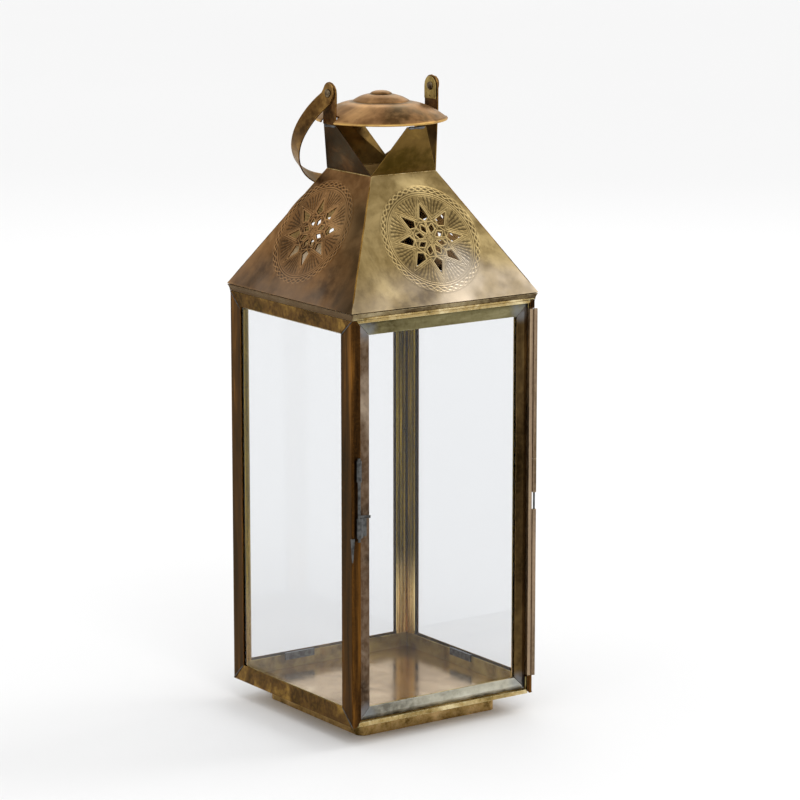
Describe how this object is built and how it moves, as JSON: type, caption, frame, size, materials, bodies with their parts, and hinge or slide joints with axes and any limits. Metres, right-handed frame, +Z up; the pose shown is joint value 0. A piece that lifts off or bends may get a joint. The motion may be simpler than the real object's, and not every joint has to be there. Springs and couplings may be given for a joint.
{
  "type": "moroccan metal lantern",
  "caption": "Square brass and glass lantern with a hinged door, lift pin latch, pierced pyramid roof, open capped neck and a strap carrying handle.",
  "frame": {"origin": "centre of the foot's underside, on the surface that the lantern stands on", "axes": "+Z up, the glazed door faces -Y with its hinge on the +X side, and the handle turns about an axis along X"},
  "size_m": [0.1732, 0.1787, 0.496],
  "materials": {
    "roof_brass": "aged brass sheet, satin, with darker and lighter patches",
    "frame_brass": "dark patinated brass, bright on its edges",
    "bright_brass": "worn brass, lighter than the frame",
    "cap_brass": "spun brass, brown pink patina",
    "tray_brass": "polished sheet, greyish",
    "tarnished_wire": "dark tarnished wire and solder",
    "clear_glass": "clear flat pane"
  },
  "bodies": {
    "lantern": {"foot": "frame_brass", "floor_tray": "tray_brass", "post_front_left": "frame_brass", "post_front_right": "frame_brass", "post_back_left": "frame_brass", "post_back_right": "frame_brass", "bottom_rail_left": "frame_brass", "bottom_rail_back": "frame_brass", "bottom_rail_right": "frame_brass", "top_rail_left": "frame_brass", "top_rail_back": "frame_brass", "top_rail_right": "frame_brass", "door_sill": "frame_brass", "door_head": "frame_brass", "inner_angle_front_left": "bright_brass", "inner_angle_front_right": "bright_brass", "inner_angle_back_left": "bright_brass", "inner_angle_back_right": "bright_brass", "glass_left": "clear_glass", "glass_back": "clear_glass", "glass_right": "clear_glass", "glass_clip_back": "tarnished_wire", "glass_clip_right": "tarnished_wire", "eave_band": "frame_brass", "roof_panel_front": "roof_brass", "roof_panel_right": "roof_brass", "roof_panel_back": "roof_brass", "roof_panel_left": "roof_brass", "neck_plate_front": "roof_brass", "neck_plate_right": "roof_brass", "neck_plate_back": "roof_brass", "neck_plate_left": "roof_brass", "ear_left": "frame_brass", "ear_right": "frame_brass", "ear_backing_left": "bright_brass", "ear_backing_right": "bright_brass", "handle_rivet_left": "bright_brass", "handle_rivet_right": "bright_brass", "cap": "cap_brass", "post_knuckle": "frame_brass", "hinge_pin": "tarnished_wire", "latch_guide": "frame_brass", "latch_tongue": "tarnished_wire"},
    "door": {"door_rail_bottom": "frame_brass", "door_rail_top": "frame_brass", "door_stile_hinge": "frame_brass", "door_stile_latch": "frame_brass", "door_glass": "clear_glass", "door_hinge_leaf": "frame_brass", "door_knuckle_bottom": "frame_brass", "door_knuckle_top": "frame_brass", "latch_keeper": "tarnished_wire"},
    "latch": {"latch_pin": "tarnished_wire"},
    "handle": {"handle_strap": "roof_brass"}
  },
  "joints": [
    {"name": "door_swing", "type": "hinge", "parent": "lantern", "child": "door", "pos_m": [0.085, -0.085, 0.18], "axis": [0, 0, 1], "range_deg": [0, 250]},
    {"name": "latch_lift", "type": "slide", "parent": "lantern", "child": "latch", "axis": [0, 0, 1], "range_m": [0, 0.02]},
    {"name": "handle_swing", "type": "hinge", "parent": "lantern", "child": "handle", "pos_m": [0, 0, 0.48747], "axis": [1, 0, 0], "range_deg": [-6, 290]}
  ]
}
